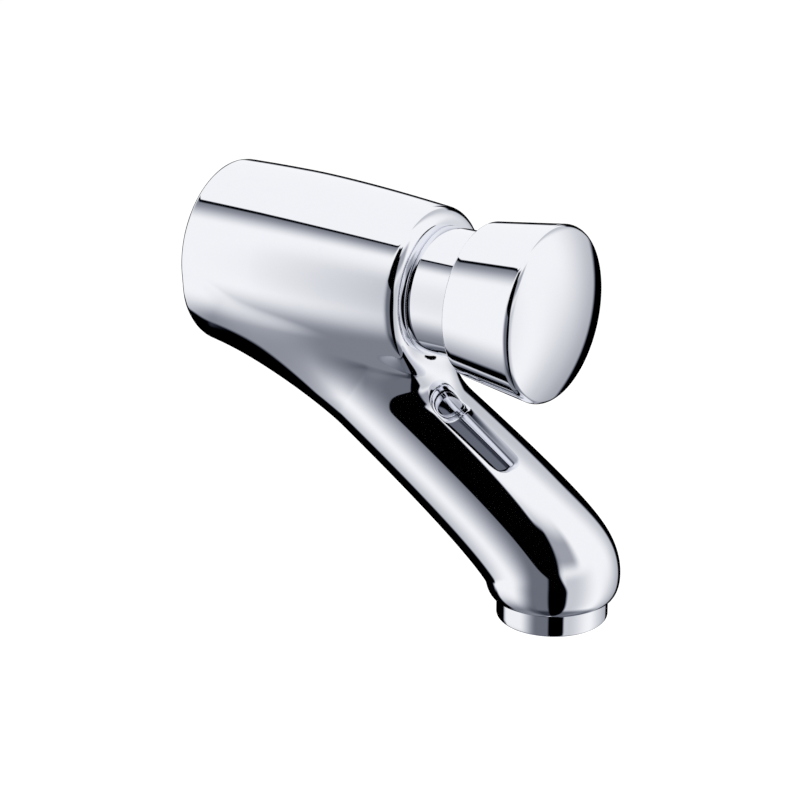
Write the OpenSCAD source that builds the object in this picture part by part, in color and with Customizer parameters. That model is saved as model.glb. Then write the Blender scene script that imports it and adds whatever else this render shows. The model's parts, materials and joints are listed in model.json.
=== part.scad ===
// Self-closing push-button basin tap for wall mounting.
// Millimetres. The origin is the centre of the rear face, on the inlet axis.
// +Z is up, the wall is the plane y = 0 and the tap stands out along -Y.
// Distances along the push axis are measured from the wall and end in _s.

/* [Barrel] */
// Distance from the wall to the flat front of the nose
barrel_len = 64.8; // [60:0.2:76]
// Radius of the barrel where it meets the wall
barrel_rear_r = 22.2; // [21.5:0.1:24]
// Largest radius of the barrel
barrel_max_r = 22.9; // [22.5:0.1:26]
// Radius of the barrel just behind the rounded nose
barrel_front_r = 20.7; // [20:0.1:22.4]
// Radius of the rounding round the nose
nose_round = 3; // [2:0.1:5]
// Radius of the rounding round the rear edge
rear_round = 1.2; // [0.4:0.1:3]

/* [Spout] */
// Distance from the wall to the outlet axis
spout_reach = 98.2; // [92:0.2:112]
// Height of the push axis above the spout's flat lower end
spout_drop = 73.5; // [68:0.5:84]
// Radius of the spout at its slender middle
spout_waist_r = 14.5; // [14:0.1:16.5]
// Radius of the spout above its lower end
spout_end_r = 16.9; // [16.2:0.1:19]
// Half height of the spout's root inside the barrel
spout_root_r = 24; // [22:0.1:26]
// Half width of the spout's root inside the barrel
spout_root_w = 21.8; // [20:0.1:22]
// Height of the rounding at the spout's lower end
spout_end_round = 4.7; // [3:0.1:6]
// Slope of the spout's middle line at its root, degrees
spout_slope = 36.6; // [32:0.2:42]
// Width of the soft blend between the spout's flanks and the barrel
flank_blend = 10; // [8:0.5:18]
// Width of the soft blend between the spout and the nose
nose_blend = 10; // [4:0.5:10]

/* [Inlet] */
// Bore radius of the G1/2 inlet thread, at its crests
inlet_r = 9.32; // [9.2:0.01:9.5]
// Depth of the inlet thread
inlet_depth = 10; // [8:0.5:12]
// Thickness of the flat sealing washer in the inlet
inlet_washer_t = 1.8; // [1:0.1:2]
// Thickness of the rim of the inlet filter
inlet_filter_t = 1.0; // [0.8:0.1:1.4]

/* [Valve] */
// How far the button can be pushed in
button_travel = 5; // [3:0.5:6]
// Radius of the main bore that holds the cartridge
main_bore_r = 14; // [13.6:0.1:14.4]
// Radius of the hole through the valve seat
seat_hole_r = 6; // [5:0.1:6.6]
// Thickness of the seat ring
seat_t = 3.5; // [3.2:0.1:4.5]
// Height of the sealing lip of the seat
seat_lip_h = 0.8; // [0.4:0.1:1.2]
// Radius of the rubber valve washer
valve_washer_r = 8.8; // [8.4:0.1:9.2]
// Thickness of the rubber valve washer
valve_washer_t = 3; // [2:0.1:3.4]
// Radius of the stem
stem_r = 3; // [2.8:0.1:3.4]
// Radius of the threaded ends of the stem
stem_thread_r = 2.5; // [2:0.1:2.6]
// Bore radius of the chamber that the piston runs in
piston_bore_r = 11; // [10.4:0.1:11.6]
// Thickness of the piston
piston_t = 4.5; // [4:0.1:5]

/* [Button] */
// Radius of the fixed sleeve that the button slides over
sleeve_r = 16.2; // [15.8:0.1:16.6]
// How far the sleeve stands out of the nose
sleeve_len = 20; // [19:0.5:24]
// Gap between the nose and the rear rim of the button at rest
button_rest_gap = 12.5; // [10:0.5:14]
// Radius of the button at its rear rim
button_rear_r = 19.4; // [18.2:0.1:20]
// Radius of the button at the edge of its face
button_front_r = 22.1; // [20:0.1:24]
// Length of the button's cone
button_len = 21; // [18:0.2:24]
// Height of the domed face
button_dome_h = 4.2; // [2:0.1:6]
// Radius of the edge between cone and face
button_edge_r = 2; // [0.5:0.1:3]
// Radial gap between the button and the sleeve
button_gap = 0.4; // [0.35:0.05:0.6]

/* [Return spring] */
// Radius of the coil at the middle of its wire
spring_r = 9.4; // [9.2:0.1:9.8]
// Diameter of the spring wire
spring_wire_d = 1.4; // [1:0.1:1.6]
// Number of turns
spring_turns = 6; // [4:1:7]

/* [Aerator] */
// Outer radius of the visible aerator ring
ring_r = 14; // [13.4:0.1:14.4]
// Height of the visible aerator ring
ring_h = 5.8; // [4:0.1:8]
// Bore radius of the aerator thread in the spout
aerator_thread_r = 12; // [11.6:0.1:12.2]
// Depth of the aerator pocket in the spout
aerator_pocket_h = 7; // [5.5:0.1:8]
// Bore radius of the aerator ring
aerator_bore_r = 10; // [9.6:0.1:10.2]
// Radius of one hole of the outlet grid
grid_hole_r = 0.95; // [0.6:0.05:1.1]

/* [Waterway] */
// Radius of the drilled waterway down the spout
waterway_r = 6.5; // [4:0.1:7]
// Radius of the ring-shaped gallery round the cartridge
gallery_r = 16.5; // [15.5:0.1:17.5]
// Length of the gallery
gallery_len = 7; // [6:0.5:7]

/* [Clearances] */
// Radial gap of a piece that screws or slips into a bore and stays there
seat_gap = 0.05; // [0.03:0.01:0.08]
// Radial gap of a piece that slides in its bore
slide_gap = 0.05; // [0.02:0.01:0.08]

/* [Hidden] */
$fn = 96;
eps = 0.01;

// Stations along the push axis, from the wall forwards
inlet_pocket_s = inlet_depth;
inlet_slack = 0.2;
inlet_shoulder_s = inlet_pocket_s + inlet_washer_t + inlet_filter_t + inlet_slack;
passage_len = 3;
chamber_s = inlet_shoulder_s + passage_len;
cup_base_t = 1.8;
cup_run_out = 1.4;
seat_s = chamber_s + cup_run_out + button_travel + cup_base_t + valve_washer_t + seat_lip_h;
lip_s = seat_s - seat_lip_h;
cartridge_s = seat_s + seat_t;
gallery_s = cartridge_s + 1.5;
partition_s = gallery_s + gallery_len - 1.5;
partition_t = 4;
piston_chamber_s = partition_s + partition_t;
spigot_len = 7;
cartridge_end_s = barrel_len - spigot_len;
piston_front_s = cartridge_end_s - 2.5;
piston_s = piston_front_s - piston_t;
web_s = barrel_len + 2;
sleeve_front_s = barrel_len + sleeve_len;
button_rear_s = barrel_len + button_rest_gap;
hub_s = sleeve_front_s + 1.5;
cap_run_out = 2;
cap_floor_s = sleeve_front_s + button_travel + cap_run_out;
hub_seat_len = 5;
hub_end_s = cap_floor_s + hub_seat_len;

// Radii that follow from the pieces that meet
inlet_pocket_r = inlet_r - 0.3;
passage_r = 7;
chamber_r = 11;
cartridge_r = main_bore_r - seat_gap;
nose_face_r = barrel_front_r - nose_round;
stem_bore_r = stem_r + slide_gap;
cap_bore_r = sleeve_r + button_gap;
sleeve_bore_r = 12.5;
bush_r = 5.5;

// Valve parts on the rear of the stem
cup_wall = 0.9;
nut_t = 2.6;
nut_flats = 8;
nut_corner_r = nut_flats / 2 / cos(30);
washer_s = lip_s - valve_washer_t;
cup_s = washer_s - cup_base_t;
valve_nut_s = cup_s - nut_t;
stem_tail = 0.5;
stem_rear_s = valve_nut_s - stem_tail;
stem_front_s = hub_end_s - 1;

// Sealing rings: radius of the cord, and depth and width of the grooves
cord_r = 0.95;
groove_depth = 2 * cord_r + 0.1;
groove_w = 2 * cord_r + 0.2;
small_cord_r = 0.85;
small_groove_r = stem_bore_r + 2 * small_cord_r + 0.1;
small_groove_w = 2 * small_cord_r + 0.2;

// Spring seats
spring_cup_t = 1;
spring_cup_s = hub_s - spring_cup_t;
spring_cup_r = spring_r + spring_wire_d / 2 + 1.3;
bush_flange_r = spring_r - spring_wire_d / 2 - 1.2;
bush_flange_t = 1.2;

// Outlet heights
pocket_top_z = aerator_pocket_h - spout_drop;
elbow_z = pocket_top_z + 1.9;
ring_z = -spout_drop - ring_h;
aerator_washer_t = 1;
spigot_top_z = pocket_top_z - aerator_washer_t;
elbow_r = waterway_r + 0.7;
ring_lip_h = 0.8;
ring_lip_r = aerator_bore_r - 1;
grid_t = 1.6;
grid_z = ring_z + ring_lip_h;
insert_z = grid_z + grid_t;
regulator_t = 2.4;
regulator_z = spigot_top_z - regulator_t;
insert_h = regulator_z - insert_z;

// Middle line of the spout in the plane of symmetry, as [s, z]: a curve that starts inside the
// barrel and ends upright above the outlet. Balls carried along it make the spout.
spout_end_face_r = ring_r + 0.6;
spine_start = [10, -2];
spine_start_pull = 37.6;
spine_end_lift = 5.5;
spine_end = [spout_reach, spine_end_lift - spout_drop];
spine_end_pull = 8;
spine = [
    spine_start,
    spine_start + spine_start_pull * [cos(spout_slope), -sin(spout_slope)],
    spine_end + [0, spine_end_pull],
    spine_end
];
// Share of the line over which the root's extra size fades, and where the mouth's begins
root_share = 0.35;
mouth_start = 0.1;
spine_balls = 16;
// Steps that close in on the nearest ball, and how much shorter each is than the one before
place_steps = 4;
place_narrowing = 0.4;

// The spout and its blend are cut by planes that turn about the line where the wall meets the
// level of the outlet. Extra planes near the wall follow the rounded rear edge.
fan_planes = 58;
rear_planes = 3;
rear_plane_step = 0.5;
fan_sides = 48;
fan_start_r = 62;
walk_limit = 40;
walk_share = 0.95;
walk_end = 0.004;
// The blend reaches up to this height, and the barrel's own turned surface stays outermost
blend_top_z = 2;
blend_full_z = -12;
blend_skin = 0.35;
buried_skin = 6;
buried_z = [blend_top_z + 2, blend_top_z + 12];
// Stretches along the barrel where the blend grows from its least width to that of the flanks,
// and where it changes to that of the nose
least_blend = 2;
flank_blend_s = [5, 40];
nose_blend_s = [barrel_len - 14, barrel_len - 2];

// Stands its children on the push axis, with their +Z pointing away from the wall
module on_push_axis(s = 0) {
    rotate([90, 0, 0]) translate([0, 0, s]) children();
}

// Stands its children on the vertical outlet axis
module on_outlet_axis(z = 0) {
    translate([0, -spout_reach, z]) children();
}

module ring(outer_r, inner_r, h) {
    difference() {
        cylinder(r = outer_r, h = h);
        translate([0, 0, -1]) cylinder(r = inner_r, h = h + 2);
    }
}

// A sealing ring whose cord touches nothing but the bore it stands in
module o_ring(middle_r, cord) {
    rotate_extrude() translate([middle_r, 0]) circle(r = cord, $fn = 32);
}

module hex_nut(hole_r, h) {
    difference() {
        cylinder(r = nut_corner_r, h = h, $fn = 6);
        translate([0, 0, -1]) cylinder(r = hole_r, h = h + 2);
    }
}

// A disc with round holes in rings, each ring one pitch wider than the one before
module perforated_disc(r, h, hole_r, pitch, rings) {
    difference() {
        cylinder(r = r, h = h);
        for (k = [0:rings])
            for (i = [0:max(6 * k, 1) - 1])
                rotate(k == 0 ? 0 : i * 60 / k)
                    translate([k * pitch, 0, -1]) cylinder(r = hole_r, h = h + 2, $fn = 24);
    }
}

// Barrel radius at distance s: a crown that falls away to the wall and to the nose
crown_s = 13;
nose_start_s = barrel_len - nose_round;
function crown(s) = s < crown_s
    ? barrel_max_r - (barrel_max_r - barrel_rear_r) * pow((crown_s - s) / crown_s, 2)
    : barrel_max_r - (barrel_max_r - barrel_front_r)
        * pow((s - crown_s) / (nose_start_s - crown_s), 1.6);

module barrel() {
    steps = 16;
    rear = [for (a = [90:-15:15]) [crown(rear_round) - rear_round * (1 - cos(a)),
                                   rear_round * (1 - sin(a))]];
    side = [for (i = [0:steps]) let (s = rear_round + (nose_start_s - rear_round) * i / steps)
            [crown(s), s]];
    nose = [for (a = [10:10:90]) [nose_face_r + nose_round * cos(a),
                                  nose_start_s + nose_round * sin(a)]];
    rotate_extrude() polygon(concat([[0, 0]], rear, side, nose, [[0, barrel_len]]));
}

// 0 below low, 1 above high and a smooth S between
function ramp(low, high, v) = let (t = min(max((v - low) / (high - low), 0), 1)) t * t * (3 - 2 * t);
function bezier(p, t) = pow(1 - t, 3) * p[0] + 3 * pow(1 - t, 2) * t * p[1]
    + 3 * (1 - t) * t * t * p[2] + pow(t, 3) * p[3];

// Distance from p = [x, s, z] to the ball at place t of the middle line
function ball_r(t) = spout_waist_r
    + (spout_root_r - spout_waist_r) * pow(max(1 - t / root_share, 0), 1.5)
    + (spout_end_r - spout_waist_r) * pow(max((t - mouth_start) / (1 - mouth_start), 0), 1.5);
function ball_distance(t, p) = let (r = ball_r(t), c = bezier(spine, t))
    norm([p[0] * r / min(r, spout_root_w), p[1] - c[0], p[2] - c[1]]) - r;

// Place of the nearest ball: the best of a coarse row, then steps to the bottom of a parabola
function coarse_place(p) =
    let (d = [for (i = [0:spine_balls]) ball_distance(i / spine_balls, p)], least = min(d))
    search(least, d)[0] / spine_balls;
function fine_place(t, h, p, left) = left == 0 ? t
    : let (m = min(max(t, h), 1 - h), d0 = ball_distance(m - h, p), d1 = ball_distance(m, p),
           d2 = ball_distance(m + h, p), bend = max(d2 - 2 * d1 + d0, 1e-9),
           step = min(max(h * (d2 - d0) / 2 / bend, -2 * h), 2 * h))
    fine_place(min(max(m - step, 0), 1), h * place_narrowing, p, left - 1);
function spout_distance(p) =
    ball_distance(fine_place(coarse_place(p), 0.5 / spine_balls, p, place_steps), p);

// Distance to the barrel, drawn in by a thin skin, and deep in where nothing of it would show
function barrel_distance(p) =
    let (skin = blend_skin + buried_skin * ramp(buried_z[0], buried_z[1], p[2]),
         side = norm([p[0], p[2]]) - crown(p[1]) + nose_round + skin,
         front = p[1] - nose_start_s + skin)
    norm([max(side, 0), max(front, 0)]) + min(max(side, front), 0) - nose_round;

// The smaller distance, lowered by the blend where the two are nearly equal
function blend_width(s, z) = 0.01 + ramp(blend_top_z, blend_full_z, z)
    * (least_blend + (flank_blend - least_blend) * ramp(flank_blend_s[0], flank_blend_s[1], s)
         - (flank_blend - nose_blend) * ramp(nose_blend_s[0], nose_blend_s[1], s));
function body_distance(p) =
    let (b = barrel_distance(p), d = spout_distance(p), w = blend_width(p[1], p[2]),
         near = max(w - abs(b - d), 0) / w)
    min(b, d) - near * near * w / 4;

// Point of the plane at an angle above the level: u beside the plane of symmetry, rho away from
// the line that the planes turn about
function fan_point(u, rho, angle) = [u, rho * cos(angle), rho * sin(angle) - spout_drop];
function walk_in(mid, angle, around, r = fan_start_r, left = walk_limit) =
    let (d = body_distance(fan_point(r * sin(around), mid + r * cos(around), angle)))
    left == 0 || abs(d) < walk_end ? r : walk_in(mid, angle, around, r - walk_share * d, left - 1);
function cut_middle(angle) =
    let (guess = spout_drop + (spout_reach - spout_drop) * (1 - angle / 90))
    guess + (walk_in(guess, angle, 0) - walk_in(guess, angle, 180)) / 2;

// The rear edge and the rim of the mouth are drawn in along a quarter circle
function draw_in(h, depth) = 1 - sqrt(1 - pow(1 - min(max(h / depth, 0), 1), 2));
function rear_softened(p) =
    let (k = 1 - rear_round * draw_in(p[1], rear_round) / norm([p[0], p[2]]))
    [p[0] * k, p[1], p[2] * k];
function rim_softened(p, end) =
    let (rim = norm([p[0], p[1] - spout_reach]),
         pull = (norm([end[0], end[1] - spout_reach]) - spout_end_face_r)
             * draw_in(p[2] + spout_drop, spout_end_round),
         k = 1 - pull / rim)
    [p[0] * k, spout_reach + (p[1] - spout_reach) * k, p[2]];

function half_cut(angle) = let (mid = cut_middle(angle))
    [for (j = [0:fan_sides / 2])
        let (around = 360 * j / fan_sides, r = walk_in(mid, angle, around))
        rear_softened(fan_point(r * sin(around), mid + r * cos(around), angle))];

module spout() {
    n = fan_sides;
    angles = concat(
        [for (i = [0:rear_planes - 1]) 90 - rear_plane_step * i],
        [for (i = [0:fan_planes])
            (90 - rear_plane_step * rear_planes) * pow(1 - i / fan_planes, 1.2)]);
    rows = len(angles) - 1;
    halves = [for (angle = angles) half_cut(angle)];
    points = [for (half = halves) for (j = [0:n - 1])
        let (k = min(j, n - j), p = rim_softened(half[k], halves[rows][k]))
        [j > n / 2 ? -p[0] : p[0], -p[1], p[2]]];
    sides = [for (i = [0:rows - 1]) for (j = [0:n - 1]) for (half = [0, 1])
        let (a = i * n + j, b = i * n + (j + 1) % n)
        half == 0 ? [a, b, b + n] : [a, b + n, a + n]];
    polyhedron(points, concat(sides, [[for (j = [n - 1:-1:0]) j]],
                              [[for (j = [0:n - 1]) rows * n + j]]));
}

// The waterway starts under the gallery and ends in a round elbow that opens into the outlet
waterway_start = [gallery_s - 1.5, -gallery_r];
waterway_run = [spout_reach, elbow_z] - waterway_start;
module waterway() {
    translate([0, -waterway_start[0], waterway_start[1]])
        rotate([90 - atan2(waterway_run[1], waterway_run[0]), 0, 0])
            cylinder(r = waterway_r, h = norm(waterway_run));
    on_outlet_axis(elbow_z) sphere(r = elbow_r);
}

// Room round the sleeve in the flat that is cut for it where the spout's blend reaches past the nose
spot_face_gap = 0.3;
module cast_body() {
    color([0.80, 0.82, 0.85]) difference() {
        union() {
            on_push_axis() barrel();
            spout();
        }
        on_push_axis(-1) cylinder(r = inlet_r, h = inlet_depth + 1);
        on_push_axis(inlet_pocket_s - eps)
            cylinder(r = inlet_pocket_r, h = inlet_shoulder_s - inlet_pocket_s + eps);
        on_push_axis(inlet_shoulder_s - eps) cylinder(r = passage_r, h = passage_len + 2 * eps);
        on_push_axis(chamber_s) cylinder(r = chamber_r, h = seat_s - chamber_s + eps);
        on_push_axis(seat_s) cylinder(r = main_bore_r, h = barrel_len - seat_s + 1);
        on_push_axis(gallery_s) cylinder(r = gallery_r, h = gallery_len);
        on_push_axis(barrel_len) cylinder(r = sleeve_r + spot_face_gap, h = nose_blend);
        waterway();
        on_outlet_axis(-spout_drop - 1) cylinder(r = aerator_thread_r, h = aerator_pocket_h + 1);
    }
}

module inlet_washer() {
    color([0.15, 0.15, 0.16]) on_push_axis(inlet_shoulder_s - inlet_filter_t - inlet_washer_t)
        ring(inlet_pocket_r - 0.1, passage_r, inlet_washer_t);
}

module inlet_filter() {
    color([0.70, 0.71, 0.72]) on_push_axis(inlet_shoulder_s - inlet_filter_t) {
        ring(inlet_pocket_r - 0.1, passage_r - 0.3, inlet_filter_t);
        perforated_disc(passage_r - 0.2, 0.4, 0.55, 1.5, 4);
    }
}

module seat_ring() {
    groove_s = (seat_t - groove_w) / 2;
    color([0.80, 0.66, 0.36]) on_push_axis(seat_s) difference() {
        union() {
            cylinder(r = cartridge_r, h = seat_t);
            translate([0, 0, -seat_lip_h]) cylinder(r = seat_hole_r + 1.2, h = seat_lip_h + eps);
        }
        translate([0, 0, -seat_lip_h - 1]) cylinder(r = seat_hole_r, h = seat_t + seat_lip_h + 2);
        translate([0, 0, groove_s]) ring(main_bore_r + 1, cartridge_r - groove_depth, groove_w);
    }
}

module seat_o_ring() {
    color([0.12, 0.12, 0.13]) on_push_axis(seat_s + seat_t / 2)
        o_ring(main_bore_r - slide_gap - cord_r, cord_r);
}

// Brass cartridge: an open cage with ports behind the partition, a piston bore in front
cage_r = 9.2;
port_r = 2.6;
port_count = 6;
cartridge_groove_s = cartridge_end_s - 3.6;
module cartridge_sleeve() {
    length = cartridge_end_s - cartridge_s;
    color([0.78, 0.63, 0.34]) on_push_axis(cartridge_s) difference() {
        cylinder(r = cartridge_r, h = length);
        translate([0, 0, -1]) cylinder(r = cage_r, h = partition_s - cartridge_s + 1);
        cylinder(r = stem_bore_r, h = length);
        translate([0, 0, partition_s - cartridge_s + (partition_t - small_groove_w) / 2])
            cylinder(r = small_groove_r, h = small_groove_w);
        translate([0, 0, piston_chamber_s - cartridge_s]) cylinder(r = piston_bore_r, h = length);
        for (i = [0:port_count - 1])
            rotate(i * 360 / port_count) translate([0, 0, gallery_s - cartridge_s + port_r])
                rotate([0, 90, 0]) cylinder(r = port_r, h = main_bore_r + 1);
        translate([0, 0, cartridge_groove_s - cartridge_s])
            ring(main_bore_r + 1, cartridge_r - groove_depth, groove_w);
    }
}

module cartridge_o_ring() {
    color([0.12, 0.12, 0.13]) on_push_axis(cartridge_groove_s + groove_w / 2)
        o_ring(main_bore_r - slide_gap - cord_r, cord_r);
}

module partition_o_ring() {
    color([0.12, 0.12, 0.13]) on_push_axis(partition_s + partition_t / 2)
        o_ring(stem_bore_r + small_cord_r, small_cord_r);
}

// Chromed sleeve: screwed into the nose, it clamps the cartridge and guides the button
spigot_groove_s = barrel_len - 2.9;
wiper_s = sleeve_front_s - 4;
wiper_w = 2;
wiper_groove_r = sleeve_r - 1.1;
module guide_sleeve() {
    color([0.80, 0.82, 0.85]) on_push_axis() difference() {
        union() {
            translate([0, 0, cartridge_end_s]) cylinder(r = cartridge_r, h = spigot_len + eps);
            translate([0, 0, barrel_len]) cylinder(r = sleeve_r, h = sleeve_front_s - barrel_len);
        }
        translate([0, 0, cartridge_end_s - 1]) cylinder(r = bush_r, h = web_s);
        translate([0, 0, web_s]) cylinder(r = sleeve_bore_r, h = sleeve_front_s);
        translate([0, 0, spigot_groove_s])
            ring(main_bore_r + 1, cartridge_r - groove_depth, groove_w);
        translate([0, 0, wiper_s]) ring(sleeve_r + 1, wiper_groove_r, wiper_w);
    }
}

module guide_sleeve_o_ring() {
    color([0.12, 0.12, 0.13]) on_push_axis(spigot_groove_s + groove_w / 2)
        o_ring(main_bore_r - slide_gap - cord_r, cord_r);
}

stem_groove_s = cartridge_end_s + 2.2;
module stem_bush() {
    rear_s = cartridge_end_s + 0.5;
    color([0.90, 0.89, 0.84]) on_push_axis() difference() {
        union() {
            translate([0, 0, rear_s]) cylinder(r = bush_r - seat_gap, h = web_s - rear_s + eps);
            translate([0, 0, web_s]) cylinder(r = bush_flange_r, h = bush_flange_t);
        }
        translate([0, 0, rear_s - 1]) cylinder(r = stem_bore_r, h = web_s);
        translate([0, 0, stem_groove_s]) cylinder(r = small_groove_r, h = small_groove_w);
    }
}

module stem_o_ring() {
    color([0.12, 0.12, 0.13]) on_push_axis(stem_groove_s + small_groove_w / 2)
        o_ring(stem_bore_r + small_cord_r, small_cord_r);
}

module wiper_ring() {
    color([0.12, 0.12, 0.13]) on_push_axis(wiper_s + 0.1)
        ring(cap_bore_r - slide_gap, wiper_groove_r + seat_gap, wiper_w - 0.2);
}

// The spring is one wire wound at an even pitch between its two seats
spring_start_s = web_s + spring_wire_d / 2 + 0.1;
spring_end_s = spring_cup_s - spring_wire_d / 2 - 0.1;
spring_steps = 16;
spring_sides = 8;
module return_spring() {
    rows = spring_turns * spring_steps;
    pitch = (spring_end_s - spring_start_s) / spring_turns;
    echo(spring_gap = pitch - spring_wire_d);
    points = [for (i = [0:rows]) for (j = [0:spring_sides - 1])
        let (turn = i * 360 / spring_steps, a = j * 360 / spring_sides,
             r = spring_r + spring_wire_d / 2 * cos(a))
        [r * cos(turn), r * sin(turn),
         spring_start_s + pitch * i / spring_steps + spring_wire_d / 2 * sin(a)]];
    sides = [for (i = [0:rows - 1]) for (j = [0:spring_sides - 1]) for (half = [0, 1])
        let (a = i * spring_sides + j, b = i * spring_sides + (j + 1) % spring_sides)
        half == 0 ? [a, b + spring_sides, b] : [a, a + spring_sides, b + spring_sides]];
    color([0.62, 0.64, 0.67]) on_push_axis() polyhedron(points, concat(sides,
        [[for (j = [0:spring_sides - 1]) j]],
        [[for (j = [spring_sides - 1:-1:0]) rows * spring_sides + j]]));
}

// Stem: thin threaded ends, a collar behind the piston and a groove for the clip
collar_r = 4.6;
collar_t = 1;
clip_t = 0.8;
clip_reach = 2.4;
clip_groove_r = stem_r - 0.5;
module stem() {
    color([0.70, 0.72, 0.74]) on_push_axis() difference() {
        union() {
            translate([0, 0, stem_rear_s])
                cylinder(r = stem_thread_r, h = stem_front_s - stem_rear_s);
            translate([0, 0, lip_s]) cylinder(r = stem_r, h = spring_cup_s - nut_t - lip_s);
            translate([0, 0, piston_s - collar_t]) cylinder(r = collar_r, h = collar_t);
        }
        translate([0, 0, piston_front_s]) ring(stem_r + 1, clip_groove_r, clip_t);
    }
}

module valve_washer() {
    color([0.13, 0.13, 0.14]) on_push_axis(washer_s)
        ring(valve_washer_r, stem_thread_r + seat_gap, valve_washer_t);
}

module washer_cup() {
    inner_r = valve_washer_r + seat_gap;
    color([0.78, 0.63, 0.34]) on_push_axis(cup_s) difference() {
        cylinder(r = inner_r + cup_wall, h = cup_base_t + valve_washer_t - 1);
        translate([0, 0, cup_base_t]) cylinder(r = inner_r, h = valve_washer_t);
        translate([0, 0, -1]) cylinder(r = stem_thread_r + seat_gap, h = cup_base_t + 2);
    }
}

module valve_nut() {
    color([0.72, 0.73, 0.75]) on_push_axis(valve_nut_s)
        hex_nut(stem_thread_r + seat_gap, nut_t);
}

seal_depth = 2.4;
seal_w = 2.6;
module piston() {
    color([0.88, 0.88, 0.86]) on_push_axis(piston_s) difference() {
        cylinder(r = piston_bore_r - 0.35, h = piston_t);
        translate([0, 0, -1]) cylinder(r = stem_r + seat_gap, h = piston_t + 2);
        translate([0, 0, (piston_t - seal_w) / 2])
            ring(piston_bore_r, piston_bore_r - seal_depth, seal_w);
    }
}

// The lip flares towards the partition and touches the bore only at its edge
module piston_lip_seal() {
    lip_r = piston_bore_r - slide_gap;
    root_r = piston_bore_r - seal_depth + seat_gap;
    w = seal_w - 0.2;
    color([0.12, 0.12, 0.13]) on_push_axis(piston_s + (piston_t - w) / 2) rotate_extrude()
        polygon([[root_r, 0], [root_r + 0.9, 0], [root_r + 1.0, 1.1], [lip_r - 0.5, 0.1],
                 [lip_r, 0.1], [lip_r - 0.1, 0.8], [lip_r - 0.8, w], [root_r, w]]);
}

module piston_clip() {
    gap_w = 3.6;
    clip_play = 0.1;
    color([0.62, 0.64, 0.67]) on_push_axis(piston_front_s + clip_play / 2) difference() {
        ring(stem_r + clip_reach, clip_groove_r + seat_gap, clip_t - clip_play);
        translate([-gap_w / 2, 0, -clip_t]) cube([gap_w, stem_r + 2 * clip_reach, 3 * clip_t]);
    }
}

module spring_cup() {
    rim_h = 0.9;
    color([0.70, 0.71, 0.72]) on_push_axis(spring_cup_s) difference() {
        translate([0, 0, -rim_h]) cylinder(r = spring_cup_r, h = spring_cup_t + rim_h);
        translate([0, 0, -rim_h - 1]) cylinder(r = spring_cup_r - 0.9, h = rim_h + 1);
        translate([0, 0, -rim_h - 1]) cylinder(r = nut_corner_r + 0.5, h = spring_cup_t + 3);
    }
}

module lock_nut() {
    color([0.72, 0.73, 0.75]) on_push_axis(hub_s - nut_t)
        hex_nut(stem_thread_r + seat_gap, nut_t);
}

hub_r = 7;
module button_hub() {
    color([0.78, 0.63, 0.34]) on_push_axis(hub_s) difference() {
        cylinder(r = hub_r, h = hub_end_s - hub_s);
        translate([0, 0, -1]) cylinder(r = stem_thread_r + seat_gap, h = stem_front_s - hub_s + 1.4);
    }
}

// Button: a cone that opens towards the hand, closed by a shallow dome
boss_r = 10.5;
boss_h = 4;
module button_cap() {
    // Circle of the dome through the edge of the face and the tip
    dome_edge_r = button_front_r - button_edge_r;
    dome_r = (pow(dome_edge_r, 2) + pow(button_dome_h, 2)) / 2 / button_dome_h;
    dome_half = asin(dome_edge_r / dome_r);
    tip_s = button_len + button_dome_h;
    rim_round = 0.5;
    rim = [for (a = [0:30:90]) [button_rear_r - rim_round * (1 - sin(a)),
                                rim_round * (1 - cos(a))]];
    edge = [for (a = [0:15:90 - dome_half])
        [dome_edge_r + button_edge_r * cos(a) - 0.01 * a / 90,
         button_len - button_edge_r + button_edge_r * sin(a)]];
    dome = [for (i = [12:-1:0]) let (a = dome_half * i / 12)
        [dome_r * sin(a), tip_s - dome_r * (1 - cos(a))]];
    color([0.80, 0.82, 0.85]) on_push_axis(button_rear_s) difference() {
        rotate_extrude() polygon(concat([[0, 0]], rim, edge, dome));
        difference() {
            translate([0, 0, -1]) cylinder(r = cap_bore_r, h = cap_floor_s - button_rear_s + 1);
            translate([0, 0, cap_floor_s - button_rear_s - boss_h])
                cylinder(r = boss_r, h = boss_h + 1);
        }
        cylinder(r = hub_r + seat_gap, h = hub_end_s - button_rear_s);
    }
}

module aerator_ring() {
    chamfer = 0.5;
    color([0.80, 0.82, 0.85]) on_outlet_axis(ring_z) difference() {
        union() {
            rotate_extrude() polygon([[0, 0], [ring_r - chamfer, 0], [ring_r, chamfer],
                [ring_r, ring_h - 0.2], [ring_r - 0.2, ring_h], [0, ring_h]]);
            cylinder(r = aerator_thread_r - seat_gap, h = spigot_top_z - ring_z);
        }
        translate([0, 0, -1]) cylinder(r = ring_lip_r, h = ring_h);
        translate([0, 0, ring_lip_h]) cylinder(r = aerator_bore_r, h = spigot_top_z - ring_z);
    }
}

module aerator_washer() {
    color([0.12, 0.12, 0.13]) on_outlet_axis(spigot_top_z)
        ring(aerator_thread_r - 0.2, elbow_r + 0.3, aerator_washer_t);
}

module flow_regulator() {
    color([0.35, 0.55, 0.42]) on_outlet_axis(regulator_z) {
        perforated_disc(aerator_bore_r - seat_gap, regulator_t, 1.1, 3.6, 2);
    }
}

module aerator_insert() {
    floor_t = 2;
    color([0.88, 0.88, 0.86]) on_outlet_axis(insert_z) difference() {
        cylinder(r = aerator_bore_r - seat_gap, h = insert_h);
        translate([0, 0, floor_t]) cylinder(r = aerator_bore_r - 1.3, h = insert_h);
        for (i = [0:7])
            rotate(i * 45) translate([aerator_bore_r * 0.6, 0, -1]) cylinder(r = 1.7, h = floor_t + 2);
    }
}

module outlet_grid() {
    color([0.55, 0.57, 0.60]) on_outlet_axis(grid_z)
        perforated_disc(aerator_bore_r - seat_gap, grid_t, grid_hole_r, 2.5, 3);
}

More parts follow.
